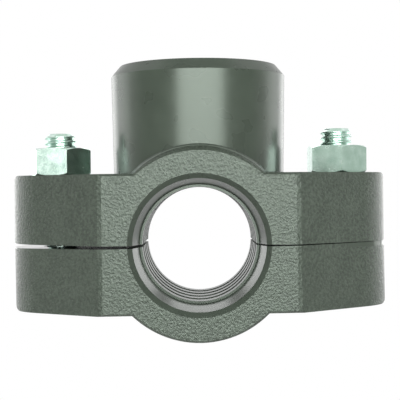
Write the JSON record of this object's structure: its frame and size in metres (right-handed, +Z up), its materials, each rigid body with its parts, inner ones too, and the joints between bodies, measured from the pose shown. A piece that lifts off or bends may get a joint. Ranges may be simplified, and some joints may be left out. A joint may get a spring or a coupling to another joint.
{
  "type": "tapping saddle",
  "caption": "Two-part clamp saddle for a plastic pipe, drawn together by bolts through its lugs, with a round threaded outlet boss on its upper half.",
  "frame": {"origin": "on the axis of the pipe bore, half way along the body", "axes": "+Y along the pipe, +Z up the axis of the outlet boss, +X across the lugs to the right bolt"},
  "size_m": [0.0681, 0.034, 0.0487],
  "materials": {
    "moulded_plastic": "moulded black polypropylene, spark-eroded grain on the end faces",
    "seal_rubber": "moulded black rubber",
    "zinc_plate": "bright bluish zinc plate"
  },
  "bodies": {
    "saddle": {"upper_saddle": "moulded_plastic", "outlet_seal": "seal_rubber"},
    "strap": {"lower_strap": "moulded_plastic", "bolt_left": "zinc_plate", "bolt_right": "zinc_plate"},
    "left_nut": {"nut_left": "zinc_plate"},
    "right_nut": {"nut_right": "zinc_plate"}
  },
  "joints": [
    {"name": "strap_release", "type": "slide", "parent": "saddle", "child": "strap", "axis": [0, 0, -1], "range_m": [0, 0.006]},
    {"name": "left_nut_turn", "type": "hinge", "parent": "saddle", "child": "left_nut", "pos_m": [-0.0255, 0, 0.0148], "axis": [0, 0, 1], "range_deg": [0, 2160]},
    {"name": "right_nut_turn", "type": "hinge", "parent": "saddle", "child": "right_nut", "pos_m": [0.0255, 0, 0.0148], "axis": [0, 0, 1], "range_deg": [0, 2160]}
  ],
  "couplings": [
    {"joint": "left_nut_turn", "follows": "strap_release", "rad_per_m": 6283.2},
    {"joint": "right_nut_turn", "follows": "strap_release", "rad_per_m": 6283.2}
  ]
}
